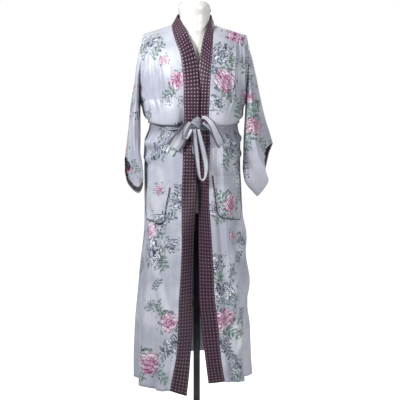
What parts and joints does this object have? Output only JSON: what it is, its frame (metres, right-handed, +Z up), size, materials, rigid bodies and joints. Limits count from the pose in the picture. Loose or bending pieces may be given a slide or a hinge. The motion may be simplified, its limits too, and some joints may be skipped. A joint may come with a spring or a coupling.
{
  "type": "kimono robe on dress form stand",
  "caption": "Long open-front robe with wide sleeves, dotted band, patch pockets and a tied belt, on a limbless dress form with its stand.",
  "frame": {"origin": "on the floor, on the pole's axis, at the middle of the round base's underside", "axes": "+Z up along the pole; the front of the robe faces -Y; the wearer's right side is at -X"},
  "size_m": [0.5345, 0.4236, 1.577],
  "materials": {
    "robe_satin": "printed satin, soft sheen",
    "belt_satin": "printed satin, scrunched",
    "dotted_band": "dark satin with pale dots",
    "cuff_facing": "dark matt satin",
    "piping": "dark matt satin cord",
    "form": "glossy white",
    "stand_metal": "dark grey, satin"
  },
  "bodies": {
    "root": {"front_right": "robe_satin", "front_left": "robe_satin", "back": "robe_satin", "sleeve_right": "robe_satin", "sleeve_left": "robe_satin", "cuff_facing_right": "cuff_facing", "cuff_facing_left": "cuff_facing", "band_right": "dotted_band", "band_left": "dotted_band", "pocket_right": "robe_satin", "pocket_left": "robe_satin", "pocket_piping_right": "piping", "pocket_piping_left": "piping", "belt": "belt_satin", "belt_knot": "belt_satin", "bow_tail_right": "belt_satin", "bow_small_loop_right": "belt_satin", "bow_loop_left": "belt_satin", "bow_loop_long": "belt_satin", "bow_strand": "belt_satin", "form_torso": "form", "form_socket": "stand_metal", "stand_pole": "stand_metal", "stand_base": "stand_metal"}
  },
  "joints": []
}
